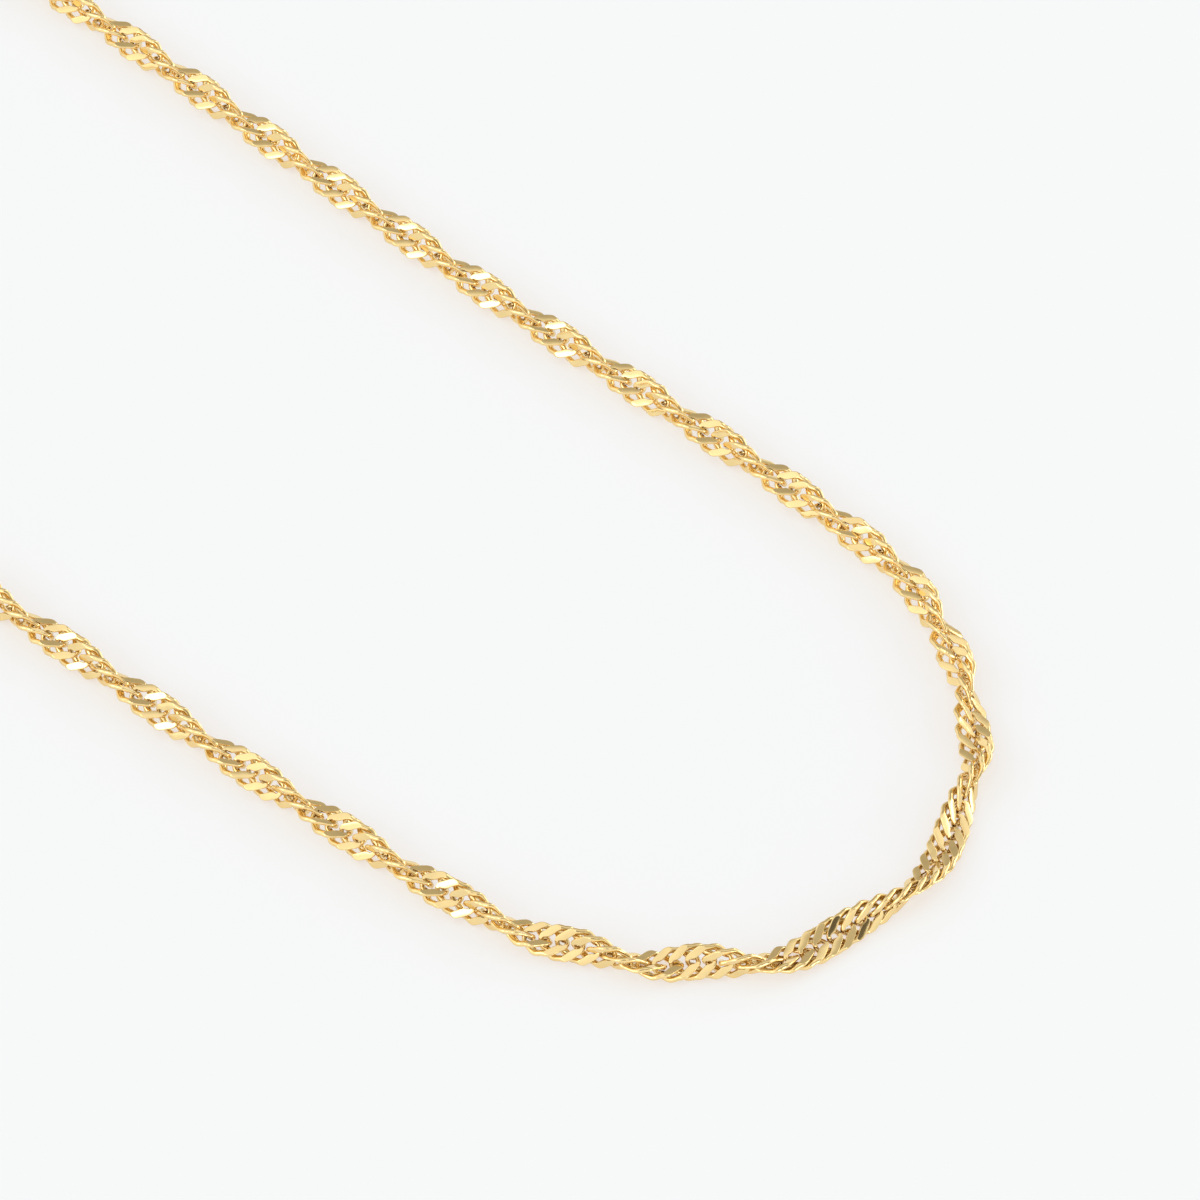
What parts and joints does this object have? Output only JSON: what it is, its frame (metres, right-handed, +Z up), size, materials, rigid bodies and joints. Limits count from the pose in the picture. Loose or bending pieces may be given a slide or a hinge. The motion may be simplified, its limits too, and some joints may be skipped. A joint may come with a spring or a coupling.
{
  "type": "singapore chain necklace",
  "caption": "Slim gold-tone necklace chain lying as a long loop: oval links, cut flat on their faces, joined into a band that twists along its length, closed by a plain ring clasp.",
  "frame": {"origin": "middle of the loop on the surface that it lies on", "axes": "+Y runs along the loop from its bend to the clasp, +X to the right strand, +Z up from the surface"},
  "size_m": [0.0439, 0.2063, 0.0021],
  "materials": {
    "chain_gold": "polished gold plate, with the links' faces cut flat and bright",
    "fitting_gold": "polished gold plate"
  },
  "bodies": {
    "root": {"chain": "chain_gold", "clasp_ring": "fitting_gold", "end_ring": "fitting_gold", "clasp": "fitting_gold"}
  },
  "joints": []
}
